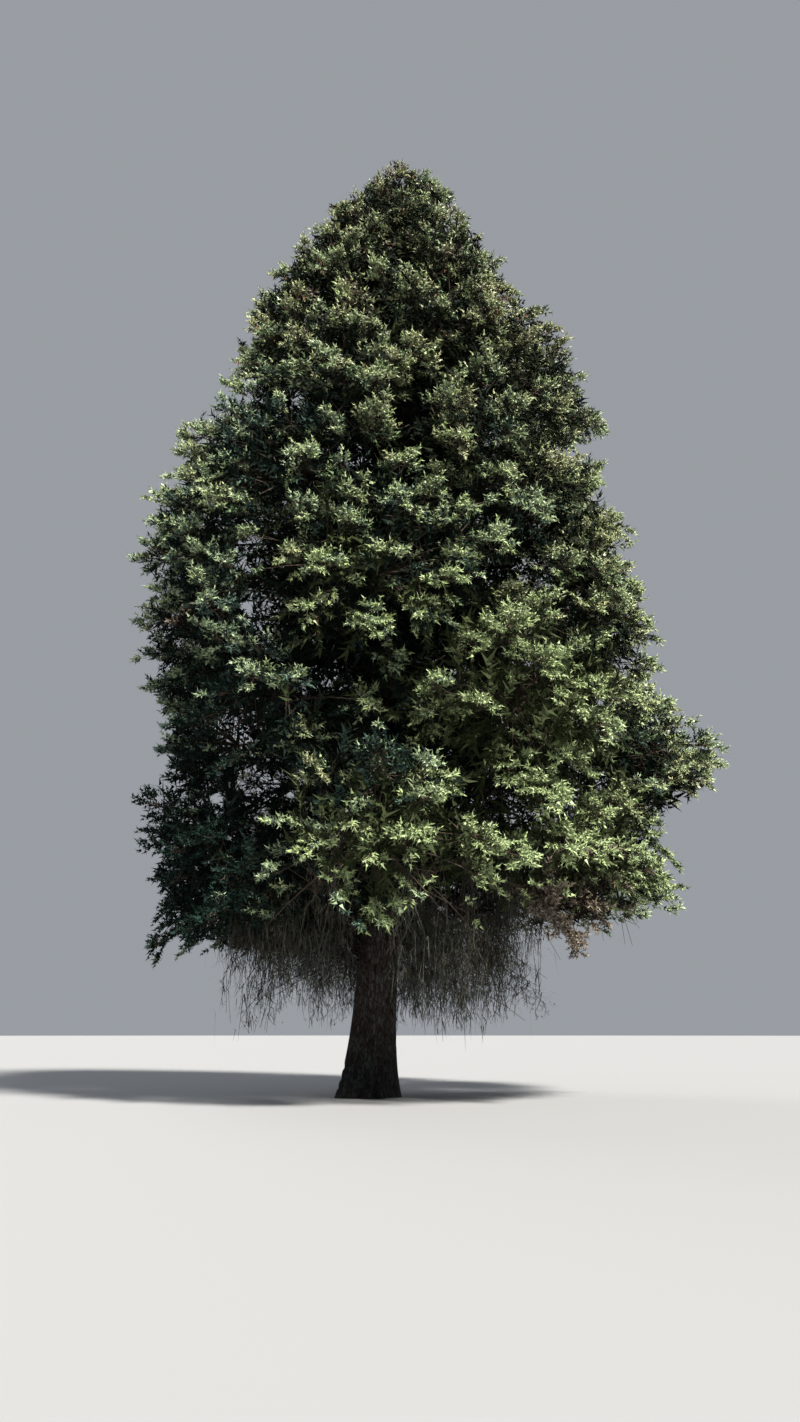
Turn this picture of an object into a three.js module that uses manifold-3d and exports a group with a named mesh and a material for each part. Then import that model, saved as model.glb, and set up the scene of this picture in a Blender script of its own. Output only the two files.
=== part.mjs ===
// Blue spruce: an old open-grown tree about 24 m tall, with a broad blunt cone of foliage and a bare trunk foot.
// One whole trunk runs from the flat cut at ground level to the leader. Long boughs carry the two lowest tiers of
// foliage, and every tier above them grows straight from the trunk. Millimetres, +Z up, and the origin is in the
// middle of the flat cut. Looking along +Y, +X is to the right.
import * as THREE from "three";
import { mergeVertices } from "three/addons/utils/BufferGeometryUtils.js";
import Module from "manifold-3d";

// The whole tree
const TREE_HEIGHT = 24100;
const CROWN_RADIUS = 6450;
const WIDEST_HEIGHT = 9000;
const CROWN_FOOT = 2700;
const UNDERSIDE_TUCK = 0.2; // share of the radius that is lost between the widest height and the crown's foot
const CONE_BULGE = 1.55; // a straight cone has 1 in both of these
const TOP_BLUNTNESS = 0.78;

// The crown isn't round: each swelling adds or takes a share of the radius on the left (-X) and on the right (+X)
const SWELLINGS = [
  { height: 3900, left: -0.13, right: 0.16, over: 1000 },
  { height: 5200, left: -0.08, right: -0.04, over: 800 },
  { height: 6700, left: -0.19, right: 0.2, over: 800 },
  { height: 7900, left: -0.16, right: 0, over: 600 },
  { height: 8900, left: -0.065, right: -0.035, over: 900 },
  { height: 10600, left: -0.09, right: -0.08, over: 600 },
  { height: 11800, left: 0.05, right: -0.03, over: 800 },
  { height: 13400, left: 0.03, right: -0.12, over: 1100 },
  { height: 16000, left: -0.12, right: 0.08, over: 900 },
  { height: 18300, left: 0.03, right: -0.17, over: 900 },
  { height: 19900, left: 0.03, right: -0.05, over: 900 },
  { height: 21600, left: -0.08, right: -0.11, over: 1100 },
];

// Trunk
const TRUNK_TIP = 23700;
const TAPER = 19.3 / 1000; // radius gained for each millimetre below the top of the tree
const FLARE = 190;
const FLARE_HEIGHT = 850;
const ROOT_RIDGES = 5;
const RIDGE_SHARE = 0.45;
const LEAN = 700; // how far the top stands to the +X side of the foot
const LEAN_HEIGHT = 7000;
const TRUNK_SIDES = 15;
const TRUNK_RINGS = 11;

// Tiers of foliage, from the lowest up
const TIER_COUNT = 9;
const FIRST_TIER = 4400;
const FIRST_STEP = 2850;
const STEP_RATIO = 0.93; // each step up is this share of the one below
const MASS_SPACING = 4050;
const FEWEST_IN_TIER = 3;
const CENTRE_SHARE = 0.64; // of the crown's radius, where the middle of a mass lies
const HEIGHT_SCATTER = 220;
const TURN_SCATTER = 0.1; // of the angle between two masses
const BOUGH_TIERS = 2;

// Limbs
const LOWEST_CLIMB = -0.16; // rise over run: the lowest limbs droop and the highest climb
const CLIMB_GAIN = 0.95;
const CLIMB_POWER = 1.6;
const LIMB_ARCH = 0.04; // rise of the middle of a limb, as a share of its run
const BOUGH_RADIUS = 95;
const BOUGH_END_SHARE = 0.62; // of the way out to the middle of its mass
const STEM_RADIUS = 52;
const STEM_SHARE = 0.55; // of the trunk's radius, which keeps the stems of one tier apart near the top
const STEM_TIP = 22;
const TWIG_RADIUS = 20;
const CLEARANCE = 0.3;

// Foliage
const SPACE_GAP = 90; // between the spaces of two masses
const REACH_STEP = 40;
const REACH_SHARE = 0.985; // of its mass's reach, where the tip of a spray stops
const CORE_SHARE = 0.78;
const CORE_INNER_SHARE = 0.96; // on the side towards the trunk
const SPRAYS_LOW = 11;
const SPRAYS_TOP = 6;
const SPRAY_FAN = THREE.MathUtils.degToRad(112);
const TOP_SPRAY_FAN = THREE.MathUtils.degToRad(130);
const SPRAY_TRIES = 150;
const SPRAY_SPREAD = 2.1; // angle between two sprays, in radians, times the root of how many there are
const SPRAY_ROOT = 0.5; // of the reach
const SPRAY_LIFT = 0.9; // how far the faces of the blades turn from outward to upward
const SPRAY_HALF_WIDTH = 0.62; // of the length
const SPRAY_TRIMS = [1, 0.8, 0.6, 0.4]; // widths that are tried until a spray fits its space
const SPRAY_TURN = 0.5; // radians that the blades are turned from their mass's outward side, at most
const SPRAY_MIDDLE = 0.42; // of the length, where a blade is thickest
const SPRAY_THICKNESS = 0.06;
const SPRAY_DROOP = 0.12; // how far the side teeth hang, as a share of the length
const HANGING = 3; // dead twigs that hang under each mass of the lowest tier
const HANGING_FOOT = 950;
const HANGING_FOOT_SCATTER = 1300;
const HANGING_START = 250; // below the middle of the mass
const HANGING_FAN = 0.42; // radians round the trunk to each side of the mass
const HANGING_OUT = [0.78, 1.12]; // of the way out to the middle of the mass
const HANGING_HALF_WIDTH = 0.12;
const TRUNK_VIEW = THREE.MathUtils.degToRad(14); // nothing hangs this near the front, where the trunk shows
const FRONT = -Math.PI / 2;

const GOLDEN_ANGLE = Math.PI * (3 - Math.sqrt(5));
const UP = new THREE.Vector3(0, 0, 1);

const wasm = await Module();
wasm.setup();
const { Manifold, Mesh } = wasm;

// A seeded number from 0 to 1 for any pair of numbers, the same on every run.
function chance(a, b) {
  const s = Math.sin(a * 12.9898 + b * 78.233) * 43758.5453;
  return s - Math.floor(s);
}

const scatter = (a, b) => 2 * chance(a, b) - 1;

// Crown and trunk lines

function crownRadius(height, azimuth) {
  const above = THREE.MathUtils.clamp((height - WIDEST_HEIGHT) / (TREE_HEIGHT - WIDEST_HEIGHT), 0, 1);
  const below = THREE.MathUtils.clamp((WIDEST_HEIGHT - height) / (WIDEST_HEIGHT - CROWN_FOOT), 0, 1);
  const cone = (1 - above ** CONE_BULGE) ** TOP_BLUNTNESS;
  const side = Math.cos(azimuth) < 0 ? "left" : "right";
  const swell = SWELLINGS.reduce((sum, s) => sum + s[side] * Math.exp(-(((height - s.height) / s.over) ** 2)), 0);
  return CROWN_RADIUS * cone * (1 - UNDERSIDE_TUCK * below ** 3) * (1 + swell * Math.cos(azimuth) ** 2);
}

function trunkAxis(height) {
  const lean = (1 - Math.exp(-height / LEAN_HEIGHT)) / (1 - Math.exp(-TREE_HEIGHT / LEAN_HEIGHT));
  return new THREE.Vector3(LEAN * lean, 0, height);
}

function trunkRadius(height, azimuth) {
  const flare = FLARE * Math.exp(-height / FLARE_HEIGHT);
  return TAPER * (TREE_HEIGHT - height) + flare * (1 + RIDGE_SHARE * Math.cos(ROOT_RIDGES * azimuth));
}

const azimuthOf = (point) => Math.atan2(point.y, point.x - trunkAxis(point.z).x);

// Solids

// Moves each vertex of a geometry to where place(vertex) says, and makes a solid of it.
function solid(geometry, place) {
  geometry.deleteAttribute("normal");
  geometry.deleteAttribute("uv");
  const position = geometry.getAttribute("position");
  const vertex = new THREE.Vector3();
  for (let i = 0; i < position.count; i++) {
    const placed = place(vertex.fromBufferAttribute(position, i));
    position.setXYZ(i, placed.x, placed.y, placed.z);
  }
  const merged = mergeVertices(geometry, 1e-3);
  const triVerts = new Uint32Array(merged.index.array);
  return new Manifold(new Mesh({ numProp: 3, vertProperties: merged.attributes.position.array, triVerts }));
}

// The largest piece of a solid, with sealed hollows filled and loose scraps dropped.
function largest(shape) {
  const pieces = shape.decompose().filter((piece) => piece.volume() > 0);
  return pieces.sort((a, b) => b.volume() - a.volume())[0];
}

function toMesh(name, shape, material) {
  const { vertProperties, triVerts } = shape.getMesh();
  const geometry = new THREE.BufferGeometry();
  geometry.setAttribute("position", new THREE.BufferAttribute(new Float32Array(vertProperties), 3));
  geometry.setIndex(new THREE.BufferAttribute(new Uint32Array(triVerts), 1));
  geometry.computeVertexNormals();
  const mesh = new THREE.Mesh(geometry, material);
  mesh.name = name;
  return mesh;
}

// A tapering limb along a curve. swell is added all round, which makes the room that its neighbours leave.
function limb(curve, startRadius, endRadius, sides, rings, swell = 0) {
  const along = new THREE.CylinderGeometry(1, 1, 1, sides, rings).rotateX(Math.PI / 2);
  return solid(along, (v) => {
    const t = v.z + 0.5;
    const tangent = curve.getTangent(t);
    const guide = Math.abs(tangent.z) < 0.9 ? UP : new THREE.Vector3(1, 0, 0);
    const rise = guide.clone().addScaledVector(tangent, -guide.dot(tangent)).normalize();
    const side = rise.clone().cross(tangent);
    const radius = THREE.MathUtils.lerp(startRadius, endRadius, t) + swell;
    return curve.getPoint(t).addScaledVector(side, v.x * radius).addScaledVector(rise, v.y * radius);
  });
}

function trunkSolid(swell) {
  const tube = new THREE.CylinderGeometry(1, 1, 1, TRUNK_SIDES, TRUNK_RINGS).rotateX(Math.PI / 2);
  return solid(tube, (v) => {
    const height = (TRUNK_TIP + swell) * (v.z + 0.5) ** 2;
    const azimuth = Math.atan2(v.y, v.x);
    const radius = Math.hypot(v.x, v.y) * (trunkRadius(height, azimuth) + swell);
    return trunkAxis(height).add(new THREE.Vector3(radius * Math.cos(azimuth), radius * Math.sin(azimuth), 0));
  });
}

// Where the masses lie

function massPlaces() {
  const places = [];
  let height = FIRST_TIER;
  for (let tier = 0; tier < TIER_COUNT; tier++) {
    const girth = 2 * Math.PI * CENTRE_SHARE * crownRadius(height, Math.PI / 2);
    const count = Math.max(FEWEST_IN_TIER, Math.round(girth / MASS_SPACING));
    for (let i = 0; i < count; i++) {
      const seed = 100 * tier + i;
      const turn = i + ((tier + 1) % 2) / 2 + TURN_SCATTER * scatter(seed, 1);
      const azimuth = (turn * 2 * Math.PI) / count;
      const z = height + HEIGHT_SCATTER * scatter(seed, 2) * (1 - tier / TIER_COUNT);
      const out = CENTRE_SHARE * crownRadius(z, azimuth);
      const centre = trunkAxis(z).add(new THREE.Vector3(out * Math.cos(azimuth), out * Math.sin(azimuth), 0));
      places.push({ tier, seed, azimuth, out, centre, name: `foliage_tier${tier + 1}_${i + 1}` });
    }
    height += FIRST_STEP * STEP_RATIO ** tier;
  }
  return places;
}

const places = massPlaces();

// A mass keeps to the points nearer to its own middle than to any other, inside the crown's outline.
function inSpace(point, own, foot = CROWN_FOOT) {
  if (point.z > TREE_HEIGHT || point.z < foot) return false;
  const axis = trunkAxis(point.z);
  const out = Math.hypot(point.x - axis.x, point.y);
  if (out > crownRadius(point.z, azimuthOf(point)) || out < trunkRadius(point.z, 0) + SPACE_GAP) return false;
  const home = point.distanceTo(own.centre) + SPACE_GAP;
  return places.every((other) => other === own || point.distanceTo(other.centre) > home);
}

// How far a mass can reach from its middle in a direction.
function reach(own, direction) {
  let distance = REACH_STEP;
  while (inSpace(own.centre.clone().addScaledVector(direction, distance + REACH_STEP), own)) distance += REACH_STEP;
  return distance;
}

const climb = (tier) => LOWEST_CLIMB + CLIMB_GAIN * (tier / (TIER_COUNT - 1)) ** CLIMB_POWER;

// A limb's line from the middle of the trunk to the middle of its mass, arched a little on the way.
function limbLine(own) {
  const root = trunkAxis(own.centre.z - climb(own.tier) * own.out);
  const middle = root.clone().lerp(own.centre, 0.5);
  middle.z += LIMB_ARCH * own.out;
  return new THREE.QuadraticBezierCurve3(root, middle, own.centre.clone());
}

// The stretch of a curve between two shares of its length.
function stretch(curve, from, to) {
  const points = [0, 1, 2, 3, 4].map((k) => curve.getPoint(THREE.MathUtils.lerp(from, to, k / 4)));
  return new THREE.CatmullRomCurve3(points);
}

// Foliage

// A spray of needles as a blade with three teeth, in shares of its length and half width, from the tip round.
const SPRAY_OUTLINE = [
  [1, 0],
  [0.72, 0.4],
  [0.7, 1],
  [0, 0],
  [0.7, -1],
  [0.72, -0.4],
];

// The blade's corners in place: it grows from root along direction, with its face turned to normal.
function sprayFrame(root, direction, length, halfWidth, normal) {
  const across = normal.clone().cross(direction).normalize();
  const face = direction.clone().cross(across);
  const at = (along, wide, thick) =>
    root
      .clone()
      .addScaledVector(direction, along * length)
      .addScaledVector(across, wide * halfWidth)
      .addScaledVector(face, (thick * SPRAY_THICKNESS - SPRAY_DROOP * Math.abs(wide)) * length);
  return { at, corners: SPRAY_OUTLINE.map(([along, wide]) => at(along, wide, 0)) };
}

function spraySolid(frame) {
  const count = SPRAY_OUTLINE.length;
  const disc = new THREE.SphereGeometry(1, count, 2).rotateX(Math.PI / 2);
  return solid(disc, (v) => {
    if (Math.abs(v.z) > 0.5) return frame.at(SPRAY_MIDDLE, 0, Math.sign(v.z));
    const turn = Math.round((Math.atan2(v.y, v.x) / (2 * Math.PI)) * count);
    return frame.corners[(turn + count) % count];
  });
}

function coreSolid(own) {
  const ball = new THREE.DodecahedronGeometry(1, 0);
  const inward = new THREE.Vector3(-Math.cos(own.azimuth), -Math.sin(own.azimuth), 0);
  return solid(ball, (v) => {
    const direction = v.clone().normalize();
    const share = THREE.MathUtils.lerp(CORE_SHARE, CORE_INNER_SHARE, Math.max(0, direction.dot(inward)));
    return own.centre.clone().addScaledVector(direction, share * reach(own, direction));
  });
}

// Directions of the sprays of a mass: those with the longest reach on its outer side, none close to another.
function sprayDirections(own) {
  const out = new THREE.Vector3(Math.cos(own.azimuth), Math.sin(own.azimuth), 0);
  const side = UP.clone().cross(out);
  const count = Math.round(THREE.MathUtils.lerp(SPRAYS_LOW, SPRAYS_TOP, own.tier / (TIER_COUNT - 1)));
  const apart = Math.cos(SPRAY_SPREAD / Math.sqrt(count));
  const fan = own.tier === TIER_COUNT - 1 ? TOP_SPRAY_FAN : SPRAY_FAN;
  const tries = Array.from({ length: SPRAY_TRIES }, (_, k) => {
    const lean = Math.acos(1 - ((k + 0.5) / SPRAY_TRIES) * (1 - Math.cos(fan)));
    const turn = k * GOLDEN_ANGLE;
    return out
      .clone()
      .multiplyScalar(Math.cos(lean))
      .addScaledVector(side, Math.sin(lean) * Math.cos(turn))
      .addScaledVector(UP, Math.sin(lean) * Math.sin(turn))
      .normalize();
  });
  const ranked = tries.map((direction) => ({ direction, far: reach(own, direction) })).sort((a, b) => b.far - a.far);
  const kept = [];
  for (const { direction } of ranked) {
    if (kept.length < count && kept.every((other) => other.dot(direction) < apart)) kept.push(direction);
  }
  return kept;
}

function twigSolid(start, end) {
  return limb(new THREE.LineCurve3(start, end), TWIG_RADIUS, TWIG_RADIUS * 0.6, 3, 1);
}

// A twig from the middle of the mass with its spray, or nothing where the spray would leave the mass's space.
function sprayOf(own, direction, k) {
  const far = reach(own, direction) * REACH_SHARE;
  const length = far * (1 - SPRAY_ROOT);
  const root = own.centre.clone().addScaledVector(direction, far - length);
  const facing = own.azimuth + SPRAY_TURN * scatter(own.seed, 30 + k);
  const normal = new THREE.Vector3(Math.cos(facing), Math.sin(facing), SPRAY_LIFT);
  for (const trim of SPRAY_TRIMS) {
    const frame = sprayFrame(root, direction, length, trim * SPRAY_HALF_WIDTH * length, normal);
    if (frame.corners.every((corner) => inSpace(corner, own)))
      return [spraySolid(frame), twigSolid(own.centre, frame.at(SPRAY_MIDDLE / 2, 0, 0))];
  }
  return [];
}

// Dead twigs that hang below the lowest tier, in a curtain that leaves the front of the trunk in view.
function hangingOf(own) {
  const made = [];
  for (let k = 0; k < HANGING; k++) {
    const turn = own.azimuth + HANGING_FAN * (((k + 0.5) / HANGING) * 2 - 1) + 0.05 * scatter(own.seed, 70 + k);
    const aside = Math.abs(Math.atan2(Math.sin(turn - FRONT), Math.cos(turn - FRONT)));
    if (aside < TRUNK_VIEW) continue;
    const out = own.out * THREE.MathUtils.lerp(...HANGING_OUT, chance(own.seed, 80 + k));
    const outward = new THREE.Vector3(Math.cos(turn), Math.sin(turn), 0);
    const start = trunkAxis(own.centre.z - HANGING_START).addScaledVector(outward, out);
    const length = start.z - HANGING_FOOT - HANGING_FOOT_SCATTER * chance(own.seed, 90 + k);
    const frame = sprayFrame(start, UP.clone().negate(), length, HANGING_HALF_WIDTH * length, outward);
    if (frame.corners.every((corner) => inSpace(corner, own, HANGING_FOOT)))
      made.push(spraySolid(frame), twigSolid(own.centre, frame.at(SPRAY_MIDDLE / 2, 0, 0)));
  }
  return made;
}

function massSolid(own, stemStart, limbRoom) {
  const line = stretch(limbLine(own), stemStart, 1);
  const radius = Math.min(STEM_RADIUS, STEM_SHARE * trunkRadius(line.getPoint(0).z, 0));
  const stem = limb(line, radius, STEM_TIP * (radius / STEM_RADIUS), 4, 2);
  const sprays = sprayDirections(own).flatMap((direction, k) => sprayOf(own, direction, k));
  const hanging = own.tier === 0 ? hangingOf(own) : [];
  const whole = Manifold.union([coreSolid(own), stem, ...sprays, ...hanging]);
  return largest(whole.subtract(limbRoom));
}

// Materials
const bark = new THREE.MeshStandardMaterial({ color: 0x5a4c42, roughness: 0.95, metalness: 0 });
const greens = [0x4a5a3a, 0x52633f, 0x5c6c45].map(
  (color) => new THREE.MeshStandardMaterial({ color, roughness: 0.85, metalness: 0 })
);

// Assembly
const tree = new THREE.Group();
tree.name = "blue_spruce_tree";
tree.add(toMesh("trunk", trunkSolid(0), bark));

const trunkRoom = trunkSolid(CLEARANCE);
const rooms = [trunkRoom];
for (const own of places) {
  if (own.tier >= BOUGH_TIERS) continue;
  const line = limbLine(own);
  const bough = limb(stretch(line, 0, BOUGH_END_SHARE), BOUGH_RADIUS, STEM_RADIUS, 6, 4);
  tree.add(toMesh(own.name.replace("foliage", "bough"), largest(bough.subtract(trunkRoom)), bark));
  const roomEnd = BOUGH_END_SHARE + CLEARANCE / line.getLength();
  rooms.push(limb(stretch(line, 0, roomEnd), BOUGH_RADIUS, STEM_RADIUS, 6, 4, CLEARANCE));
}
const limbRoom = Manifold.union(rooms);

for (const own of places) {
  const stemStart = own.tier < BOUGH_TIERS ? BOUGH_END_SHARE : 0;
  tree.add(toMesh(own.name, massSolid(own, stemStart, limbRoom), greens[own.seed % greens.length]));
}

export default tree;
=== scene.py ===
import math

import bpy
import numpy as np
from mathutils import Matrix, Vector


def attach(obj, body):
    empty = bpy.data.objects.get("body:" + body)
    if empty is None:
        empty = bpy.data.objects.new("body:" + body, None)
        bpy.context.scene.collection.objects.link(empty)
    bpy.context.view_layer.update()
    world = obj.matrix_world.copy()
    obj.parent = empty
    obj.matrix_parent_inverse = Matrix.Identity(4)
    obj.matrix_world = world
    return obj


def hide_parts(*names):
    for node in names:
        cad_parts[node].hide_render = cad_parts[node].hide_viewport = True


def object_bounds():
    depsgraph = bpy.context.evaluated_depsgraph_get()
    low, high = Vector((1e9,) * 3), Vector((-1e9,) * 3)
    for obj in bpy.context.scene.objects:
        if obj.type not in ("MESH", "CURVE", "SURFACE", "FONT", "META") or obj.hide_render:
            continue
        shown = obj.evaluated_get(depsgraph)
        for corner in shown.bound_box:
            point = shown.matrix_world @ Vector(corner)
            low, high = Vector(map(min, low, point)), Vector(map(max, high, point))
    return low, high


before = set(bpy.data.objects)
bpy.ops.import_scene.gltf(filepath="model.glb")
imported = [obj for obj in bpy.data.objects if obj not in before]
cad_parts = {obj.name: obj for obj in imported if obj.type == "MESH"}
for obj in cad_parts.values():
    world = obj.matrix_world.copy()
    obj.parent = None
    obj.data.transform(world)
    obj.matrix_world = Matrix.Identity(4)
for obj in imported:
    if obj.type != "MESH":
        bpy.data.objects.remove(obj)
cad_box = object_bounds()

# Trunk: one living stem of a blue spruce, about 0.9 m thick at breast height, grown in one piece with its
# flared foot. Its grey-brown bark has broken into long, shallow, upright ridges. It leans a little to the
# right as it rises.
TREE_HEIGHT = 24.1
TRUNK_TIP = 23.7
TAPER = 19.3 / 1000
FLARE = 0.19
FLARE_HEIGHT = 0.85
ROOT_RIDGES = 5
RIDGE_SHARE = 0.45
LEAN = 0.7
LEAN_HEIGHT = 7.0
TRUNK_SIDES = 132
TRUNK_RINGS = 300
# Over 1 draws the rings together towards the foot.
RING_CROWDING = 1.7
BARK_DEPTH = 0.022
# The bark has its full depth where the trunk has this radius, and at least this share of it further up.
FULL_BARK_RADIUS = 0.4
THINNEST_BARK = 0.15
# Radians for each metre round the trunk, so that the ridges stand about 15 and 9 cm apart.
WIDE_RIDGES = 42
NARROW_RIDGES = 67
RIPPLE_WAVES = 7
FULL_TURN = 6.3
SCALES_PER_METRE = 17
UPRIGHT_STRETCH = 0.35
BROWN_SCALES = (0.062, 0.044, 0.036)
GREY_SCALES = (0.1, 0.095, 0.088)
CRACK_SHADE = (0.16, 0.12, 0.1)
STREAK_SHADE = (0.3, 0.27, 0.25)
FOOT_SHADE = (0.28, 0.35, 0.39)
NO_SHADE = (1, 1, 1)


def axis_x(height):
    """How far the stem's middle stands to the right of its foot."""
    return LEAN * (1 - np.exp(-height / LEAN_HEIGHT)) / (1 - math.exp(-TREE_HEIGHT / LEAN_HEIGHT))


def trunk_radius(height, azimuth):
    """The stem's radius at a height, with the ridges of its root flare."""
    flare = FLARE * np.exp(-height / FLARE_HEIGHT)
    return TAPER * (TREE_HEIGHT - height) + flare * (1 + RIDGE_SHARE * np.cos(ROOT_RIDGES * azimuth))


def ripple(u, v, seed):
    """Smooth seeded waves, mostly between -1 and 1, over a surface of two coordinates."""
    dice = np.random.default_rng(seed)
    total = 0
    for _ in range(RIPPLE_WAVES):
        across, along, start = dice.normal(size=3)
        total = total + np.sin(across * u + along * v + FULL_TURN * start)
    return total / RIPPLE_WAVES**0.5


def bark_relief(height, azimuth, radius):
    """How far the bark lies back between its upright ridges: 0 on a ridge, and about -1 in a furrow."""
    around = azimuth * radius
    wander = ripple(0, height * 2.2, 5) * 0.5 + ripple(around * 9, height * 1.4, 6) * 0.7
    ridges = np.sin(around * WIDE_RIDGES + 2.6 * wander) * 0.6
    ridges += np.sin(around * NARROW_RIDGES + 9 + 3.1 * ripple(around * 6, height * 3, 7)) * 0.4
    cracks = ripple(around * 12, height * 13, 8) * 0.35
    return np.minimum(0, ridges + cracks - 0.25)


def bark_material():
    """Old bark: tall grey and brown scales with dark cracks and streaks, darkest at the foot."""
    material = bpy.data.materials.new("spruce bark")
    material.use_nodes = True
    nodes, links = material.node_tree.nodes, material.node_tree.links
    shader = nodes["Principled BSDF"]
    shader.inputs["Roughness"].default_value = 0.93
    shader.inputs["Specular IOR Level"].default_value = 0.15
    place = nodes.new("ShaderNodeTexCoord")
    stretch = nodes.new("ShaderNodeMapping")
    stretch.inputs["Scale"].default_value = (1, 1, UPRIGHT_STRETCH)
    links.new(place.outputs["Object"], stretch.inputs["Vector"])

    def ramp(source, low, high, low_colour, high_colour):
        """A colour that runs from one to the other as the source rises from low to high."""
        node = nodes.new("ShaderNodeValToRGB")
        for stop, at, colour in zip(node.color_ramp.elements, (low, high), (low_colour, high_colour)):
            stop.position = at
            stop.color = (*colour, 1)
        links.new(source, node.inputs["Fac"])
        return node.outputs["Color"]

    def darkened(share, first, second):
        """The first colour, darkened by a share of the second."""
        node = nodes.new("ShaderNodeMixRGB")
        node.blend_type = "MULTIPLY"
        node.inputs["Fac"].default_value = share
        links.new(first, node.inputs["Color1"])
        links.new(second, node.inputs["Color2"])
        return node.outputs["Color"]

    streaks = nodes.new("ShaderNodeTexNoise")
    streaks.inputs["Scale"].default_value = 14
    streaks.inputs["Detail"].default_value = 8
    streaks.inputs["Roughness"].default_value = 0.65
    scales = nodes.new("ShaderNodeTexVoronoi")
    scales.inputs["Scale"].default_value = SCALES_PER_METRE
    cracks = nodes.new("ShaderNodeTexVoronoi")
    cracks.feature = "DISTANCE_TO_EDGE"
    cracks.inputs["Scale"].default_value = SCALES_PER_METRE
    heights = nodes.new("ShaderNodeSeparateXYZ")
    for pattern in (streaks, scales, cracks, heights):
        links.new(stretch.outputs["Vector"], pattern.inputs["Vector"])
    tint = ramp(scales.outputs["Color"], 0.25, 0.75, BROWN_SCALES, GREY_SCALES)
    shadow = ramp(streaks.outputs["Fac"], 0.32, 0.58, STREAK_SHADE, NO_SHADE)
    edge = ramp(cracks.outputs["Distance"], 0.0, 0.14, CRACK_SHADE, NO_SHADE)
    # These two are stretched heights: the shade runs out between 0.4 and 2.7 m above the ground.
    foot = ramp(heights.outputs["Z"], 0.15, 0.95, FOOT_SHADE, NO_SHADE)
    cracked = darkened(0.9, darkened(1.0, tint, shadow), edge)
    links.new(darkened(1.0, cracked, foot), shader.inputs["Base Color"])
    bump = nodes.new("ShaderNodeBump")
    bump.inputs["Strength"].default_value = 0.8
    bump.inputs["Distance"].default_value = 0.02
    links.new(darkened(0.7, streaks.outputs["Fac"], edge), bump.inputs["Height"])
    links.new(bump.outputs["Normal"], shader.inputs["Normal"])
    return material


bpy.ops.object.select_all(action="DESELECT")
bpy.ops.mesh.primitive_cylinder_add(
    vertices=TRUNK_SIDES, radius=1, depth=1, end_fill_type="TRIFAN", location=(0, 0, 0.5)
)
trunk = bpy.context.object
trunk.name = trunk.data.name = "trunk_bark"
bpy.ops.object.transform_apply(location=True, rotation=True, scale=True)
bpy.ops.object.mode_set(mode="EDIT")
for cut in np.linspace(0, 1, TRUNK_RINGS + 1)[1:-1]:
    bpy.ops.mesh.select_all(action="SELECT")
    bpy.ops.mesh.bisect(plane_co=(0, 0, float(cut)), plane_no=(0, 0, 1))
bpy.ops.object.mode_set(mode="OBJECT")
points = np.empty(3 * len(trunk.data.vertices), np.float32)
trunk.data.vertices.foreach_get("co", points)
points = points.reshape(-1, 3).astype(float)
height = TRUNK_TIP * points[:, 2] ** RING_CROWDING
azimuth = np.arctan2(points[:, 1], points[:, 0])
out = np.hypot(points[:, 0], points[:, 1])
radius = trunk_radius(height, azimuth)
depth = BARK_DEPTH * np.clip(radius / FULL_BARK_RADIUS, THINNEST_BARK, 1)
radius = radius + depth * bark_relief(height, azimuth, radius)
points[:, 0] = axis_x(height) + out * radius * np.cos(azimuth)
points[:, 1] = out * radius * np.sin(azimuth)
points[:, 2] = height
trunk.data.vertices.foreach_set("co", points.astype(np.float32).ravel())
trunk.data.update()
bark = bark_material()
trunk.data.materials.append(bark)
bpy.ops.object.shade_smooth_by_angle(angle=math.radians(50))
trunk.select_set(False)
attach(trunk, "root")
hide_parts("trunk")

# Main limbs: branches of the same wood that stand out of the trunk in tiers, the lowest drooping and the
# highest climbing. Those of the two lowest tiers are long boughs. Every limb ends in its own foliage.
CROWN_RADIUS = 6.45
WIDEST_HEIGHT = 9.0
CROWN_FOOT = 2.7
UNDERSIDE_TUCK = 0.2
CONE_BULGE = 1.55
TOP_BLUNTNESS = 0.78
# Height, share of the radius on the left and on the right, and how far up and down it runs.
SWELLINGS = [
    (3.9, -0.13, 0.16, 1.0),
    (5.2, -0.08, -0.04, 0.8),
    (6.7, -0.19, 0.2, 0.8),
    (7.9, -0.16, 0, 0.6),
    (8.9, -0.065, -0.035, 0.9),
    (10.6, -0.09, -0.08, 0.6),
    (11.8, 0.05, -0.03, 0.8),
    (13.4, 0.03, -0.12, 1.1),
    (16.0, -0.12, 0.08, 0.9),
    (18.3, 0.03, -0.17, 0.9),
    (19.9, 0.03, -0.05, 0.9),
    (21.6, -0.08, -0.11, 1.1),
]
TIER_COUNT = 9
FIRST_TIER = 4.4
FIRST_STEP = 2.85
STEP_RATIO = 0.93
MASS_SPACING = 4.05
FEWEST_IN_TIER = 3
CENTRE_SHARE = 0.64
HEIGHT_SCATTER = 0.22
TURN_SCATTER = 0.1
LOWEST_CLIMB = -0.16
CLIMB_GAIN = 0.95
CLIMB_POWER = 1.6
LIMB_ARCH = 0.04
BOUGH_TIERS = 2
BOUGH_RADIUS = 0.095
LIMB_RADIUS = 0.075
LIMB_SHARE_OF_TRUNK = 0.6
LIMB_TAPER = 0.72
LIMB_ROUGHNESS = 0.07
LIMB_SIDES = 10
LIMB_RINGS = 22
UP = np.array([0.0, 0.0, 1.0])


def chance(a, b):
    """A share from 0 to 1 that is always the same for the same two numbers."""
    wave = math.sin(a * 12.9898 + b * 78.233) * 43758.5453
    return wave - math.floor(wave)


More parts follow.
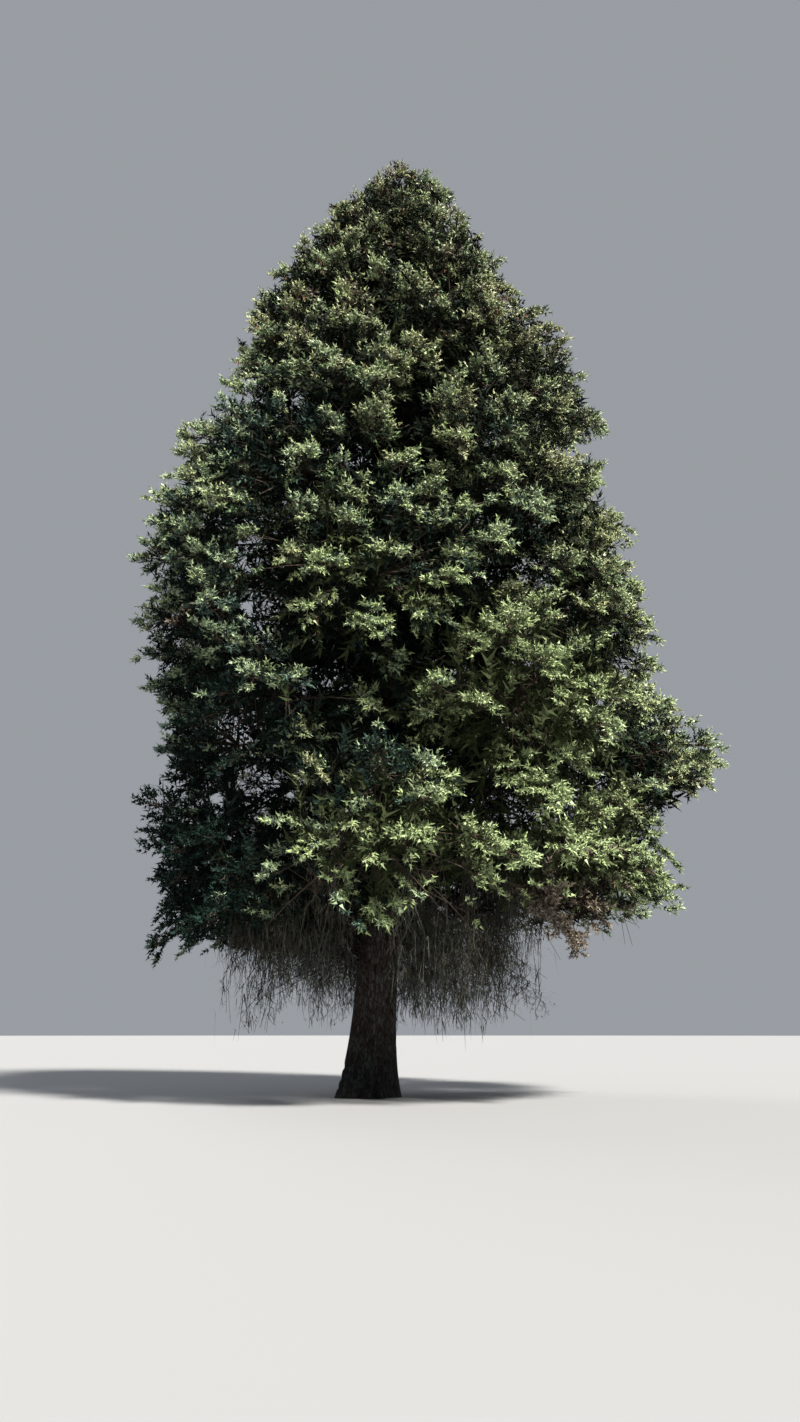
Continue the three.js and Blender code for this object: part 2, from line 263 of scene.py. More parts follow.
def crown_radius(height, azimuth):
    """The crown's reach from the stem's middle, wider and narrower at the swellings."""
    above = np.clip((height - WIDEST_HEIGHT) / (TREE_HEIGHT - WIDEST_HEIGHT), 0, 1)
    below = np.clip((WIDEST_HEIGHT - height) / (WIDEST_HEIGHT - CROWN_FOOT), 0, 1)
    cone = (1 - above**CONE_BULGE) ** TOP_BLUNTNESS
    swell = 0
    for middle, left, right, over in SWELLINGS:
        share = np.where(np.cos(azimuth) < 0, left, right)
        swell = swell + share * np.exp(-(((height - middle) / over) ** 2))
    return CROWN_RADIUS * cone * (1 - UNDERSIDE_TUCK * below**3) * (1 + swell * np.cos(azimuth) ** 2)


def unit(v):
    """Vectors of the same direction, 1 long."""
    return v / np.linalg.norm(v, axis=-1, keepdims=True)


masses = []
tier_height = FIRST_TIER
for tier in range(TIER_COUNT):
    girth = 2 * math.pi * CENTRE_SHARE * float(crown_radius(tier_height, math.pi / 2))
    in_tier = max(FEWEST_IN_TIER, math.floor(girth / MASS_SPACING + 0.5))
    climb = LOWEST_CLIMB + CLIMB_GAIN * (tier / (TIER_COUNT - 1)) ** CLIMB_POWER
    for i in range(in_tier):
        seed = 100 * tier + i
        place = i + ((tier + 1) % 2) / 2 + TURN_SCATTER * (2 * chance(seed, 1) - 1)
        around = 2 * math.pi * place / in_tier
        z = tier_height + HEIGHT_SCATTER * (2 * chance(seed, 2) - 1) * (1 - tier / TIER_COUNT)
        away = CENTRE_SHARE * float(crown_radius(z, around))
        outward = np.array([math.cos(around), math.sin(around), 0])
        root_z = z - climb * away
        masses.append(
            {
                "tier": tier,
                "seed": seed,
                "out": away,
                "outward": outward,
                "climb": climb,
                "middle": np.array([axis_x(z), 0, z]) + away * outward,
                "root": np.array([axis_x(root_z), 0, root_z]),
            }
        )
    tier_height += FIRST_STEP * STEP_RATIO**tier
middles = np.array([m["middle"] for m in masses])


def tube(points, radii, sides, seed=0, rough=0.0):
    """Corners and faces of a tapering round limb through the points, closed at its far end."""
    points, radii = np.asarray(points, float), np.asarray(radii, float)
    tangent = unit(np.gradient(points, axis=0))
    guide = np.where(np.abs(tangent[:, 2:]) < 0.9, UP, np.array([1.0, 0, 0]))
    rise = unit(guide - tangent * (guide * tangent).sum(1, keepdims=True))
    side = np.cross(rise, tangent)
    turn = np.arange(sides) * 2 * math.pi / sides
    wave = 1 + rough * np.random.default_rng(seed).normal(size=(len(points), sides))
    ring = side[:, None] * np.cos(turn)[None, :, None] + rise[:, None] * np.sin(turn)[None, :, None]
    corners = points[:, None] + ring * (radii[:, None] * wave)[..., None]
    a = np.arange(len(points) - 1)[:, None] * sides + np.arange(sides)
    b = np.arange(len(points) - 1)[:, None] * sides + (np.arange(sides) + 1) % sides
    faces = np.stack([a, a + sides, b, b, a + sides, b + sides], -1).reshape(-1, 3)
    last = (len(points) - 1) * sides
    cap = [[last, last + k + 1, last + k] for k in range(1, sides - 1)]
    return corners.reshape(-1, 3), np.vstack([faces, cap])


def gather(parts):
    """Joins lists of corners and faces."""
    points, faces, start = [], [], 0
    for corners, corner_faces in parts:
        points.append(corners)
        faces.append(corner_faces + start)
        start += len(corners)
    return np.vstack(points), np.vstack(faces)


def new_mesh(name, points, faces, materials, kinds=None):
    """A mesh object made of arrays: three corners a face, and in kinds each face's material."""
    mesh = bpy.data.meshes.new(name)
    mesh.vertices.add(len(points))
    mesh.vertices.foreach_set("co", np.asarray(points, np.float32).ravel())
    mesh.loops.add(3 * len(faces))
    mesh.loops.foreach_set("vertex_index", np.asarray(faces, np.int32).ravel())
    mesh.polygons.add(len(faces))
    mesh.polygons.foreach_set("loop_start", np.arange(0, 3 * len(faces), 3, dtype=np.int32))
    for material in materials:
        mesh.materials.append(material)
    if kinds is not None:
        mesh.polygons.foreach_set("material_index", np.asarray(kinds, np.int32))
    mesh.update(calc_edges=True)
    piece = bpy.data.objects.new(name, mesh)
    bpy.context.scene.collection.objects.link(piece)
    return piece


def limb_line(mass, shares):
    """Points on a mass's limb, at these shares of the way from the trunk to the middle of the mass."""
    bend = (mass["root"] + mass["middle"]) / 2 + LIMB_ARCH * mass["out"] * UP
    t = np.asarray(shares)[:, None]
    return (1 - t) ** 2 * mass["root"] + 2 * t * (1 - t) * bend + t**2 * mass["middle"]


limbs = []
for mass in masses:
    thick = min(LIMB_RADIUS, LIMB_SHARE_OF_TRUNK * float(trunk_radius(mass["root"][2], 0)))
    if mass["tier"] < BOUGH_TIERS:
        thick = BOUGH_RADIUS
    shares = np.linspace(0, 1, LIMB_RINGS)
    radii = thick * (1 - LIMB_TAPER * shares)
    limbs.append(tube(limb_line(mass, shares), radii, LIMB_SIDES, mass["seed"], LIMB_ROUGHNESS))
boughs = new_mesh("main_limbs", *gather(limbs), [bark])
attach(boughs, "root")
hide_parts(*[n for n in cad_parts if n.startswith("bough")])

# Branches: each limb's foliage grows on side branches that spread from its end to the outside of the crown.
# They are living wood, a few centimetres thick, and carry ever finer twigs. All stay in their limb's space.
BRANCHES_LOW = 11
BRANCHES_TOP = 6
BRANCH_FAN = math.radians(112)
TOP_BRANCH_FAN = math.radians(130)
BRANCH_TRIES = 150
BRANCH_SPREAD = 2.1
FINE_TRIES = 460
SPACE_GAP = 0.09
REACH_STEP = 0.04
# Shares of the way to the edge of a mass's space: how far a main branch goes, and a filling one at least.
FULL_REACH = 0.985
LEAST_REACH = 0.8
TOP_FULL_FROM = 0.9
SHORTEST_BRANCH = 0.35
BRANCH_ARCH = 0.25
BRANCH_RADII = (0.03, 0.024, 0.019, 0.014, 0.009, 0.004)
BRANCH_SIDES = 4
# Every branch ends in a clump of twigs, of a size between these.
CLUMP_SIZES = (0.62, 1.4)
CLUMP_INSET = 0.5
CLUMP_SPACING = 0.9
HOLLOW_SPACING = 0.85
MAIN_LEEWAY = 0.4
TIP_DEPTH = 1.4
HOLLOW_TIP_DEPTH = 0.4
RECESS = 0.24
# Where the crown's surface lies back, over 0, or stands fuller, under 0: place, radius and how much.
HOLLOW_PLACES = [
    (-2.8, -3.6, 6.1, 2.3, 0.9),
    (-3.2, -3.2, 9.0, 1.0, 0.9),
    (-4.3, 0, 16.2, 1.3, 0.9),
    (7.0, 0, 9.1, 1.1, 0.9),
    (-6.2, 0, 13.4, 0.8, 0.9),
    (-6.2, 0, 10.6, 0.7, 0.9),
    (5.2, 0, 15.9, 0.8, 0.9),
    (1.6, -3.4, 9.6, 0.9, 0.9),
    (-0.6, -3.0, 13.6, 0.9, 0.9),
    (0.3, -4.4, 8.4, 0.9, 0.9),
    (0.3, -3.9, 11.4, 0.8, 0.9),
    (0.5, -2.4, 16.4, 0.8, 0.9),
    (1.8, -6.0, 6.9, 1.0, 2.0),
    (0.6, -5.8, 5.8, 0.9, 2.0),
    (-2.4, -4.8, 13.8, 1.0, 1.6),
    (3.0, -4.0, 5.2, 2.4, -1.1),
    (4.4, -3.4, 4.0, 1.4, -1.1),
    (2.6, -3.6, 8.4, 1.2, -1.1),
    (7.0, 0, 6.9, 1.3, -1.1),
    (4.6, 0, 14.2, 0.9, -1.1),
    (1.9, -5.9, 11.4, 1.0, -0.9),
    (1.9, -6.1, 8.7, 0.9, -0.9),
    (0.5, -3.8, 18.3, 0.9, -0.8),
]
HOLLOW_GAIN = 0.8
HOLLOW_EVERYWHERE = 0.06
FULLEST = -0.25
LOBE_COUNT = 7
LOBE_SLOPES = (1.9, 3.4)
GOLDEN_ANGLE = math.pi * (3 - math.sqrt(5))

lobe_dice = np.random.default_rng(11)
lobe_waves = []
for _ in range(LOBE_COUNT):
    slope = unit(lobe_dice.normal(size=3)) * lobe_dice.uniform(*LOBE_SLOPES)
    lobe_waves.append((slope, lobe_dice.uniform(0, FULL_TURN)))


def in_space(points, own):
    """Which points lie inside the crown and nearer to this mass's middle than to any other."""
    x = points[:, 0] - axis_x(points[:, 2])
    out = np.hypot(x, points[:, 1])
    inside = (points[:, 2] < TREE_HEIGHT) & (points[:, 2] > CROWN_FOOT)
    inside &= out < crown_radius(points[:, 2], np.arctan2(points[:, 1], x))
    inside &= out > trunk_radius(points[:, 2], 0) + SPACE_GAP
    apart = np.linalg.norm(points[:, None] - middles[None], axis=2)
    home = apart[:, own].copy()
    apart[:, own] = np.inf
    return inside & (home + SPACE_GAP < apart.min(axis=1))


def reaches(own, directions):
    """How far a mass reaches from its middle in each direction."""
    far = np.full(len(directions), REACH_STEP)
    open_still = np.ones(len(directions), bool)
    while open_still.any():
        trial = middles[own] + directions * (far + REACH_STEP)[:, None]
        open_still &= in_space(trial, own)
        far[open_still] += REACH_STEP
    return far


def fan_of(mass, tries):
    """Directions spread evenly over the outer side of a mass."""
    fan = TOP_BRANCH_FAN if mass["tier"] == TIER_COUNT - 1 else BRANCH_FAN
    k = np.arange(tries)
    lean = np.arccos(1 - (k + 0.5) / tries * (1 - math.cos(fan)))
    turn = k * GOLDEN_ANGLE
    side = np.cross(UP, mass["outward"])
    return (
        np.cos(lean)[:, None] * mass["outward"]
        + (np.sin(lean) * np.cos(turn))[:, None] * side
        + (np.sin(lean) * np.sin(turn))[:, None] * UP
    )


def depth_in_crown(points):
    """How far points lie inside the crown's outline, measured level."""
    x = points[..., 0] - axis_x(points[..., 2])
    radius = crown_radius(np.clip(points[..., 2], 0, TREE_HEIGHT), np.arctan2(points[..., 1], x))
    return radius - np.hypot(x, points[..., 1])


def hollow_at(point):
    """How deep the crown's surface lies back between its lobes here, from under 0 on a lobe to 1."""
    wave = sum(math.sin(float(slope @ point) + start) for slope, start in lobe_waves) / LOBE_COUNT**0.5
    for x, y, z, radius, depth in HOLLOW_PLACES:
        off = ((point[0] - x) ** 2 + (point[1] - y) ** 2 + (point[2] - z) ** 2) / radius**2
        wave += depth * math.exp(-off)
    return float(np.clip(HOLLOW_GAIN * wave + HOLLOW_EVERYWHERE, FULLEST, 1))


def plain(name, colour, roughness, specular=0.35):
    """A material of one colour."""
    material = bpy.data.materials.new(name)
    material.use_nodes = True
    shader = material.node_tree.nodes["Principled BSDF"]
    shader.inputs["Base Color"].default_value = (*colour, 1)
    shader.inputs["Roughness"].default_value = roughness
    shader.inputs["Specular IOR Level"].default_value = specular
    return material


def mottled(name, colour, roughness, specular, spots_per_metre):
    """A material of one colour, darker and lighter in small spots."""
    material = plain(name, colour, roughness, specular)
    nodes, links = material.node_tree.nodes, material.node_tree.links
    place = nodes.new("ShaderNodeTexCoord")
    spots = nodes.new("ShaderNodeTexNoise")
    spots.inputs["Scale"].default_value = spots_per_metre
    spots.inputs["Detail"].default_value = 4
    tint = nodes.new("ShaderNodeValToRGB")
    for stop, at, gain in zip(tint.color_ramp.elements, (0.35, 0.65), (0.6, 1.4)):
        stop.position = at
        stop.color = (*[gain * part for part in colour], 1)
    links.new(place.outputs["Object"], spots.inputs["Vector"])
    links.new(spots.outputs["Fac"], tint.inputs["Fac"])
    links.new(tint.outputs["Color"], nodes["Principled BSDF"].inputs["Base Color"])
    return material


# Main branches go to the furthest corners of their space, and filling ones where the surface has room.
branches = []
tips = np.empty((0, 4))
dice = np.random.default_rng(24)
for own, mass in enumerate(masses):
    top = mass["tier"] == TIER_COUNT - 1
    count = round(BRANCHES_LOW + (BRANCHES_TOP - BRANCHES_LOW) * mass["tier"] / (TIER_COUNT - 1))
    apart = math.cos(BRANCH_SPREAD / math.sqrt(count))
    coarse = fan_of(mass, BRANCH_TRIES)
    far = reaches(own, coarse)
    kept = []
    for k in np.argsort(-far, kind="stable"):
        if len(kept) < count and all(coarse[k] @ coarse[j] < apart for j in kept):
            kept.append(k)
    ways = [(coarse[k], far[k], FULL_REACH) for k in kept]
    fine = fan_of(mass, FINE_TRIES)
    far = reaches(own, fine)
    for k in np.argsort(-far, kind="stable"):
        ways.append((fine[k], far[k], dice.uniform(LEAST_REACH, FULL_REACH)))
    for direction, distance, share in ways:
        filling = share < FULL_REACH
        size = dice.uniform(*CLUMP_SIZES)
        hollow = hollow_at(mass["middle"] + direction * distance)
        share -= RECESS * max(hollow, 0)
        if top and share > TOP_FULL_FROM:
            share = FULL_REACH
        tip = mass["middle"] + direction * max(distance * share - CLUMP_INSET * size, SHORTEST_BRANCH)
        if filling and depth_in_crown(tip) > TIP_DEPTH + HOLLOW_TIP_DEPTH * hollow:
            continue
        spacing = CLUMP_SPACING * (1 + HOLLOW_SPACING * hollow)
        room = np.linalg.norm(tips[:, :3] - tip, axis=1) - (tips[:, 3] + size) / 2 * spacing
        if not filling:
            room += MAIN_LEEWAY
        if not len(tips) or room.min() > 0:
            tips = np.vstack([tips, [*tip, size]])
            branch = {"own": own, "tip": tip, "direction": direction, "size": size, "hollow": hollow}
            branches.append(branch)

branch_wood = []
for branch in branches:
    middle = masses[branch["own"]]["middle"]
    shares = np.linspace(0, 1, len(BRANCH_RADII))[:, None]
    line = middle * (1 - shares) + branch["tip"] * shares
    line[:, 2] += BRANCH_ARCH * (shares * (1 - shares))[:, 0] * np.linalg.norm(branch["tip"] - middle)
    branch["line"] = line
    branch_wood.append(tube(line, BRANCH_RADII, BRANCH_SIDES))
wood = mottled("twig bark", (0.055, 0.042, 0.032), 0.9, 0.1, 30)
foliage_nodes = [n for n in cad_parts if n.startswith("foliage")]
branch_piece = new_mesh("branches", *gather(branch_wood), [wood])
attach(branch_piece, "root")
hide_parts(*foliage_nodes)

# Sprays of needles: the outer twigs of every branch, bunches of stubby shoots with stiff needles all round.
# They are the living green of the tree, with painted sun and shade: pale sage where the sun reaches,
# deep green behind, near-black inside. Each is a row of numbers: root, the way it grows, upper side, size,
# how high it sits, which sets its painted sun and shade, and warmth.
ROOT = slice(0, 3)
FORWARD = slice(3, 6)
FACE = slice(6, 9)
SIZE = 9
ABOVE = 10
WARMTH = 11
SHOOTS_IN_SPRAY = 7
SHOOTS_IN_SHADE = 5
NEEDLES_ON_SHOOT = 4
# How light a spray's shoots are from its tip back, 0 lightest and 2 darkest: painted highlights and painted
# shade among the shoots. Needles are a step lighter, as painted highlights.
LEVELS_OF_SHOOTS = [0, 2, 1, 0, 2, 1, 2]
SPRAY_LENGTH = 0.16
SHOOT_LENGTH = 0.115
SHOOT_WIDTH = 0.052
SHOOT_SPREAD = (42, 74)
NEEDLE_LENGTH = 0.064
NEEDLE_WIDTH = 0.021
NEEDLES_STAND_OUT = 0.09
THIRD_OF_TURN = 2.094
KINDS_OF_SPRAY = 9
SPRAY_SIZES = (0.95, 1.3)
TWIG_BUTT = 0.12
TWIG_RADIUS = 0.007
BRANCHLETS = 12
LEADER = 2.0
# Along a branchlet: share of its length, side, and whether it is an old spray with few needles left.
SPRAYS_ON_BRANCHLET = [(0.35, -1, True), (0.72, 1, False), (1.0, 0, False)]
OLD_SIZES = (0.6, 0.9)
KINDS_OF_TUFT = 5
BLADES_IN_TUFT = 15
BLADE_WIDTH = 0.048
SIDE_TWIGS_ON_BRANCH = 3
SIDE_TWIG_RADII = (0.008, 0.004)
TUFTS_ON_SIDE_TWIG = 3
TUFTS_PER_METRE_OF_LIMB = 30
TUFTS_ROUND_TRUNK = 3400


def across_to(direction):
    """Two directions square to the one given and to each other."""
    guide = np.where(np.abs(direction[..., 2:]) < 0.9, UP, np.array([1.0, 0, 0]))
    side = unit(np.cross(guide, direction))
    return side, np.cross(direction, side)


def shoot(root, direction, length, width, rng):
    """The corners of one shoot, three a face: a blunt three-sided body, with stiff needles round it."""
    side, rise = across_to(direction)

    def around(turn):
        """The direction square to the shoot at this turn."""
        return math.cos(turn) * side + math.sin(turn) * rise

    first = rng.uniform(0, FULL_TURN)
    end = root + direction * length
    collar = root + direction * length * 0.3
    ring = [collar + around(first + k * THIRD_OF_TURN) * width / 2 for k in range(3)]
    faces = [[ring[k], ring[(k + 1) % 3], end] for k in range(3)]
    for k in range(NEEDLES_ON_SHOOT):
        share = 0.35 + 0.4 * (k % 2)
        turn = first + k * 2 * math.pi / NEEDLES_ON_SHOOT
        out, edge = around(turn), around(turn + math.pi / 2)
        base = root + direction * length * share + out * width * (1 - share) * 0.3
        tip = base + unit(direction * rng.uniform(0.5, 1.1) + out) * NEEDLE_LENGTH * rng.uniform(0.85, 1.2)
        faces.append([base - edge * NEEDLE_WIDTH / 2, base + edge * NEEDLE_WIDTH / 2, tip])
    return faces


def face_levels(shoots):
    """How light each face of a spray is, in the order in which shoot makes the faces."""
    levels = []
    for level in LEVELS_OF_SHOOTS[:shoots]:
        levels += [level] * 3 + [max(0, level - 1)] * NEEDLES_ON_SHOOT
    return np.array(levels)


def spray_shape(seed, shoots=SHOOTS_IN_SPRAY):
    """One bunch of shoots that grows along +X with its upper side to +Z, as the corners of its faces."""
    rng = np.random.default_rng(seed)
    faces = []
    for k in range(shoots):
        share = 1 - ((k + 1) // 2) / (shoots // 2 + 0.6)
        hand = 0 if k == 0 else (-1, 1)[k % 2]
        spread = math.radians(hand * rng.uniform(*SHOOT_SPREAD))
        direction = unit(np.array([math.cos(spread), math.sin(spread), rng.uniform(-0.3, 0.75)]))
        root = np.array([share * SPRAY_LENGTH, 0, 0])
        size = SHOOT_LENGTH * rng.uniform(0.8, 1.2)
        faces += shoot(root, direction, size, SHOOT_WIDTH * rng.uniform(0.85, 1.15), rng)
    return np.array(faces)


def inner_shape(seed):
    """A sparse dull tuft from inside the crown, painted dark as shade, 0.5 m long along +X, with broad
    blades for old needles.
    """
    rng = np.random.default_rng(seed)
    faces = []
    for k in range(BLADES_IN_TUFT):
        turn = k * GOLDEN_ANGLE
        away = np.array([0, math.cos(turn), math.sin(turn)])
        edge = np.array([0, -math.sin(turn), math.cos(turn)]) * BLADE_WIDTH / 2
        base = np.array([0.06 + 0.42 * k / (BLADES_IN_TUFT - 1), 0, 0])
        point = base + unit(np.array([0.9, 0, 0]) + away * rng.uniform(0.6, 1.3)) * rng.uniform(0.1, 0.18)
        faces.append([base - edge, base + edge, point])
    return np.array(faces)


def twig_shape():
    """The three-sided twig of a spray, along +X."""
    turns = np.arange(3) * 2 * math.pi / 3
    ring = np.stack([0 * turns - TWIG_BUTT, np.cos(turns) * TWIG_RADIUS, np.sin(turns) * TWIG_RADIUS], -1)
    tip = np.array([SPRAY_LENGTH, 0, 0])
    return np.array([[ring[k], ring[(k + 1) % 3], tip] for k in range(3)])


def place_shape(shape, rows):
    """Copies of a shape, one for each row, as the corners of their faces."""
    x = unit(rows[:, FORWARD])
    y = unit(np.cross(rows[:, FACE], x))
    turned = np.stack([x, y, np.cross(x, y)], 1) * rows[:, SIZE, None, None]
    return (np.einsum("fcx,nxy->nfcy", shape, turned) + rows[:, None, None, ROOT]).reshape(-1, 3, 3)


def along_line(line, share):
    """The point this share of the way along a row of points."""
    at = share * (len(line) - 1)
    low = min(int(at), len(line) - 2)
    return line[low] * (1 - at + low) + line[low + 1] * (at - low)


spray_rows = []
old_rows = []
inner_rows = []
side_twigs = []
dice = np.random.default_rng(7)
for branch in branches:
    mass = masses[branch["own"]]
    tip = branch["tip"]
    clump = branch["size"]
    outward = unit(np.array([tip[0] - axis_x(tip[2]), tip[1], 0]))
    climb = 0.02 + 0.5 * mass["climb"] - 0.3 * np.clip((6.5 - tip[2]) / 4, 0, 1)
    ahead = unit(0.55 * outward + 0.45 * branch["direction"] + UP * climb + dice.normal(size=3) * 0.16)
    side = unit(np.cross(UP, ahead) + UP * dice.normal() * 0.25)
    rise = np.cross(ahead, side)
    heart = tip - ahead * 0.3 * clump
    warmth = dice.normal()
    count = round(BRANCHLETS * clump**1.4)
    first_turn = dice.uniform(0, FULL_TURN)
    # Branchlets stand round the end of the branch, the leader first and the widest last, with few under it.
    for k in range(count):
        back = (k + 0.3) / count
        turn = first_turn + k * GOLDEN_ANGLE
        if math.cos(turn) < -0.4 and k % 2:
            turn += math.pi
        spread = math.radians(12 + 56 * back**0.6 + dice.uniform(-9, 9))
        length = clump * (0.24 + 0.26 * back) * (1 - 0.22 * math.cos(turn)) * dice.uniform(0.85, 1.15)
        if k == 0:
            spread *= 0.3
            length *= LEADER
        start = tip - ahead * clump * 0.72 * back
        around = 0.8 * rise * math.cos(turn) + 1.15 * side * math.sin(turn)
        way = ahead * math.cos(spread) + around * math.sin(spread)
        droop = 0.06 + 0.55 * max(0, -math.cos(turn)) * back
        way = unit(way + dice.normal(size=3) * 0.14 - UP * droop)
        beside = unit(np.cross(rise + 0.3 * side, way))
        for share, hand, old in SPRAYS_ON_BRANCHLET:
            root = start + way * length * share * 0.8
            forward = unit(way + beside * hand * dice.uniform(0.45, 0.85) + UP * dice.uniform(-0.3, 0.35))
            face = rise + forward * 0.2
            # How high a spray sits in its clump, towards the light, sets its painted sun and shade; in the
            # crown's hollows it counts lower, for painted shade in the recesses.
            above = (root + forward * 0.15 - heart) @ (UP * 0.8 + outward * 0.6) - 0.25 * branch["hollow"]
            if old:
                old_rows.append((*root, *forward, *face, dice.uniform(*OLD_SIZES), above, warmth))
            else:
                spray_rows.append((*root, *forward, *face, dice.uniform(*SPRAY_SIZES), above, warmth))
    # Side twigs of the branch carry dull tufts, painted dark as shade, larger where they stand deep inside
    # the crown.
    for _ in range(SIDE_TWIGS_ON_BRANCH):
        turn = dice.uniform(0, FULL_TURN)
        start = along_line(branch["line"], dice.uniform(0.2, 0.85))
        way = unit(ahead * 0.5 + side * math.cos(turn) + rise * math.sin(turn))
        deep = float(depth_in_crown(start))
        reach = dice.uniform(0.5, 1.0) * np.clip(deep - 0.25, 0.1, 1)
        side_twigs.append(tube(np.array([start, start + way * reach]), SIDE_TWIG_RADII, 3))
        for k in range(TUFTS_ON_SIDE_TWIG):
            root = start + way * reach * (k + 1) / TUFTS_ON_SIDE_TWIG
            forward = unit(way + dice.normal(size=3) * 0.6)
            size = dice.uniform(0.85, 1.2) * (1 + 0.75 * np.clip(deep - 0.8, 0, 1))
            inner_rows.append((*root, *forward, *unit(dice.normal(size=3)), size, 0, warmth))
# Tufts along the limbs, and others round the trunk, painted dark as shade, close the view through the middle
# of the crown.
for mass in masses:
    line = limb_line(mass, np.linspace(0, 1, 12))
    for _ in range(round(TUFTS_PER_METRE_OF_LIMB * mass["out"])):
        forward = unit(dice.normal(size=3) * (1, 1, 0.8) + mass["outward"] * 0.5)
        root = along_line(line, dice.uniform(0.05, 0.9))
        inner_rows.append((*root, *forward, *unit(dice.normal(size=3)), dice.uniform(1.4, 2.1), 0, 0))
for _ in range(TUFTS_ROUND_TRUNK):
    z = 3.4 + 17.6 * dice.random() ** 1.3
    turn = dice.uniform(0, 2 * math.pi)
    out = np.array([math.cos(turn), math.sin(turn), 0])
    root = np.array([axis_x(z), 0, z]) + out * dice.uniform(0.3, 0.6 * float(crown_radius(z, turn)))
    forward = unit(out + dice.normal(size=3) * 0.8)
    inner_rows.append((*root, *forward, *unit(dice.normal(size=3)), dice.uniform(1.3, 1.9), 0, 0))

# Small openings to the sky, left of the trunk as seen from the front: few twigs carry needles there. Each
# has its place beside the trunk, its height and its radius, all at the trunk's depth.
EYE = np.array([0.70, -22.96, 1.28])
OPENINGS = [
    (-0.41, 15.0, 0.36),
    (-2.8, 12.2, 0.55),
    (-2.5, 10.7, 0.6),
    (-0.8, 9.1, 0.45),
    (-3.1, 7.9, 0.5),
    (-2.5, 6.7, 0.5),
    (-1.9, 16.4, 0.35),
]
LEFT_IN_OPENING = 0.15


def keep_open(rows, chances):
    """The rows without most of those that stand in an opening or close to its ragged edge."""
    keep = np.ones(len(rows), bool)
    off = rows[:, ROOT] + rows[:, FORWARD] * 0.2 - EYE
    for x, z, radius in OPENINGS:
        line = unit(np.array([x, 0, z]) - EYE)
        apart = np.linalg.norm(off - (off @ line)[:, None] * line, axis=1)
        clear = apart > radius * chances.uniform(0.75, 1.35, len(rows))
        keep &= clear | (chances.random(len(rows)) < LEFT_IN_OPENING)
    return rows[keep]


sprays = keep_open(np.array(spray_rows), dice)
old_sprays = keep_open(np.array(old_rows), dice)
inner = keep_open(np.array(inner_rows), dice)

# The crown's lower edge is uneven, and higher on the right than on the left.
EDGE_RISE = 0.45
EDGE_LIFT = 0.1
EDGE_MIDDLE = 0.2
EDGE_RAGGEDNESS = 0.15
EDGE_WAVES = [(3, 0.6, 0.22), (7, 1.9, 0.2), (13, 0.4, 0.16)]
# Gaps beside the trunk as it is seen from the front, and sprays low before it: direction, width and rise.
EDGE_GAPS = [(-1.25, 0.17, 0.7), (-1.95, 0.2, 0.6), (-1.55, 0.1, -0.6)]
# A spray is moved back until its end is this far inside the crown's outline, but no further than the most.
OUTLINE_MARGIN = 0.12
MOST_BACK = 0.9
INNER_MARGIN = 0.3
INNER_LIFT = 0.2


def crown_foot(points):
    """Height of the crown's lower edge at these points."""
    azimuth = np.arctan2(points[:, 1], points[:, 0] - EDGE_MIDDLE)
    waves = sum(size * np.sin(times * azimuth + start) for times, start, size in EDGE_WAVES)
    waves += sum(rise * np.exp(-(((azimuth - turn) / width) ** 2)) for turn, width, rise in EDGE_GAPS)
    return CROWN_FOOT + EDGE_RISE * (1 + np.cos(azimuth)) + EDGE_LIFT + waves


def ends_of(rows, length):
    """Where the rows' twigs end, if one of size 1 is this long."""
    return rows[:, ROOT] + rows[:, FORWARD] * (length * rows[:, SIZE, None])


past = -depth_in_crown(ends_of(sprays, SPRAY_LENGTH + SHOOT_LENGTH))
sprays[:, ROOT] -= sprays[:, FORWARD] * np.clip(past + OUTLINE_MARGIN, 0, MOST_BACK)[:, None]
ends = ends_of(sprays, SPRAY_LENGTH + SHOOT_LENGTH)
sprays[:, ROOT] -= np.maximum(ends + NEEDLES_STAND_OUT - np.array(cad_box[1]), 0)
sprays[:, ROOT] += np.maximum(np.array(cad_box[0]) - ends + NEEDLES_STAND_OUT, 0)
sprays = sprays[ends[:, 2] > crown_foot(ends) + dice.normal(size=len(ends)) * EDGE_RAGGEDNESS]
inner = np.vstack([inner, old_sprays])
inner_ends = ends_of(inner, 0.6)
inner_foot = crown_foot(inner_ends) + INNER_LIFT
inner = inner[(depth_in_crown(inner_ends) > INNER_MARGIN) & (inner_ends[:, 2] > inner_foot)]

# One dying bough on the right still holds its brown needles and hangs lower than the green.
DYING_BOUGH = np.array([[2.8, -2.8, 4.0], [3.45, -3.2, 3.55], [3.95, -3.5, 2.8]])
DYING_RADII = (0.022, 0.015, 0.005)
DYING_SPRAYS = 110
DYING_SIZES = (0.7, 1.0)
DYING_WAY = (0.35, -0.25, -0.7)
DYING_HEIGHT = 0.02
bough_dice = np.random.default_rng(17)
hanging = []
for _ in range(DYING_SPRAYS):
    share = bough_dice.uniform(0.15, 1)
    root = along_line(DYING_BOUGH, share) + bough_dice.normal(size=3) * (0.16, 0.16, 0.1)
    forward = unit(bough_dice.normal(size=3) * 0.6 + DYING_WAY)
    face = unit(bough_dice.normal(size=3))
    hanging.append((*root, *forward, *face, bough_dice.uniform(*DYING_SIZES), DYING_HEIGHT, 0))
sprays = np.vstack([sprays, hanging])
side_twigs.append(tube(DYING_BOUGH, DYING_RADII, 4))
